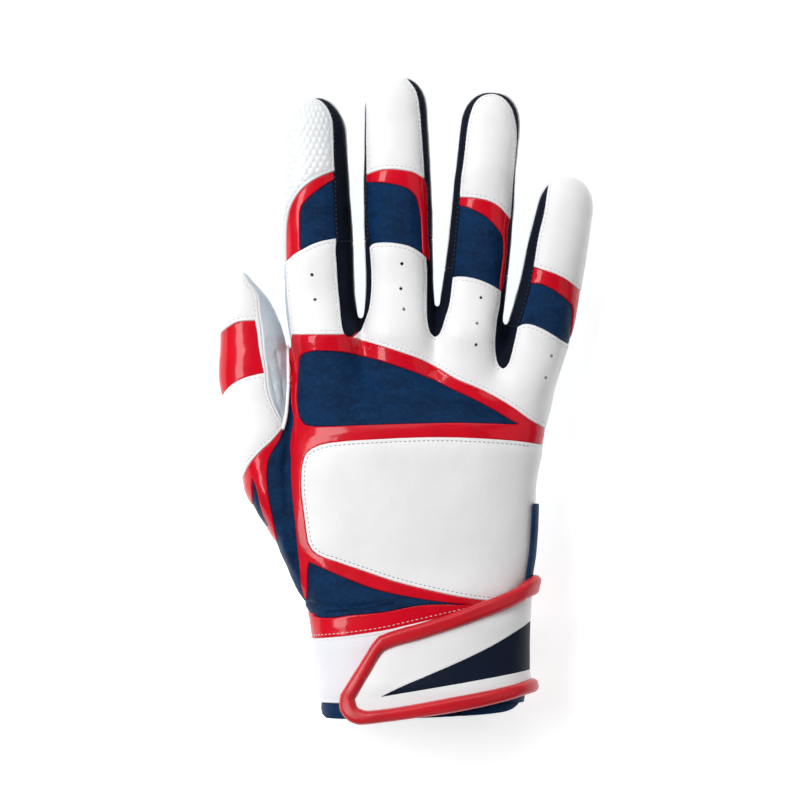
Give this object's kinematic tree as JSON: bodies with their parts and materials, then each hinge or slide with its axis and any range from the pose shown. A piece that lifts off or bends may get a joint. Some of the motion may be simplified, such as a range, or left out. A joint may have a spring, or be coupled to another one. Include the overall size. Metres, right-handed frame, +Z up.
{
  "type": "batting glove",
  "caption": "Right-hand batting glove lying palm down: sewn leather shell with gloss trims, stretch bands and a hook-and-loop strap; fingers, knuckles and thumb fold and the strap opens",
  "frame": {"origin": "middle of the glove in plan, on the surface that its palm rests on", "axes": "+X across the hand from the thumb to the little finger, +Y from the cuff to the fingertips, +Z up from the palm to the back of the hand"},
  "size_m": [0.1275, 0.2217, 0.0394],
  "materials": {
    "white_leather": "smooth white leather, semi-matt",
    "palm_leather": "thin grey-white leather, soft creases",
    "navy_knit": "navy stretch fabric, fine weave",
    "dark_fabric": "dark navy fabric, matt",
    "red_gloss": "red synthetic leather with a high gloss",
    "red_rubber": "red moulded rubber, satin"
  },
  "bodies": {
    "hand": {"palm_heel": "palm_leather", "back_panel": "white_leather", "knuckle_panel": "navy_knit", "lower_back_panel": "navy_knit", "hem_band": "red_gloss", "back_frame": "red_gloss", "side_panel": "navy_knit", "thumb_base_panel": "white_leather", "thumb_gusset": "red_gloss", "thumb_inner_panel": "palm_leather", "cuff_back_panel": "white_leather", "cuff_side_panel": "navy_knit", "loop_patch": "dark_fabric", "cuff_binding": "navy_knit", "strap_root": "red_rubber", "side_tab": "navy_knit"},
    "knuckles": {"index_base_panel": "white_leather", "knuckle_cover": "white_leather", "knuckle_band": "red_gloss", "index_middle_gusset": "dark_fabric", "middle_ring_gusset": "dark_fabric", "ring_little_gusset": "dark_fabric", "palm_front": "palm_leather"},
    "index_tip": {"index_tip_cap": "white_leather", "index_trim": "red_gloss", "index_flex_band": "navy_knit", "index_tip_gusset": "dark_fabric", "index_tip_palm": "palm_leather"},
    "middle_tip": {"middle_tip_cap": "white_leather", "middle_trim": "red_gloss", "middle_flex_band": "navy_knit", "middle_tip_gusset": "dark_fabric", "middle_tip_palm": "palm_leather"},
    "ring_tip": {"ring_tip_cap": "white_leather", "ring_trim": "red_gloss", "ring_flex_band": "navy_knit", "ring_tip_gusset": "dark_fabric", "ring_tip_palm": "palm_leather"},
    "little_tip": {"little_tip_cap": "white_leather", "little_trim": "red_gloss", "little_flex_band": "navy_knit", "little_tip_gusset": "dark_fabric", "little_tip_palm": "palm_leather"},
    "thumb_tip": {"thumb_tip_cap": "white_leather", "thumb_band": "red_gloss", "thumb_tip_palm": "palm_leather"},
    "strap": {"strap_rim": "red_rubber", "strap_inlay": "navy_knit", "strap_face": "white_leather", "hook_pad": "dark_fabric"}
  },
  "joints": [
    {"name": "knuckle_fold", "type": "hinge", "parent": "hand", "child": "knuckles", "pos_m": [0.00921, -0.00463, 0.0075], "axis": [-0.9813, 0.1925, 0], "range_deg": [0, 60]},
    {"name": "index_fold", "type": "hinge", "parent": "knuckles", "child": "index_tip", "pos_m": [-0.02887, 0.06231, 0.006], "axis": [-0.9993, -0.0381, 0], "range_deg": [0, 75]},
    {"name": "middle_fold", "type": "hinge", "parent": "knuckles", "child": "middle_tip", "pos_m": [-0.00248, 0.06366, 0.006], "axis": [-0.9998, -0.02, 0], "range_deg": [0, 75]},
    {"name": "ring_fold", "type": "hinge", "parent": "knuckles", "child": "ring_tip", "pos_m": [0.02481, 0.05259, 0.006], "axis": [-0.995, 0.0998, 0], "range_deg": [0, 75]},
    {"name": "little_fold", "type": "hinge", "parent": "knuckles", "child": "little_tip", "pos_m": [0.04825, 0.03152, 0.006], "axis": [-0.9823, 0.1871, 0], "range_deg": [0, 75]},
    {"name": "thumb_fold", "type": "hinge", "parent": "hand", "child": "thumb_tip", "pos_m": [-0.05292, 0.01673, 0.006], "axis": [-0.9968, -0.0799, 0], "range_deg": [0, 50]},
    {"name": "strap_open", "type": "hinge", "parent": "hand", "child": "strap", "pos_m": [0.04649, -0.085, 0.019], "axis": [0, 1, 0], "range_deg": [0, 150]}
  ]
}
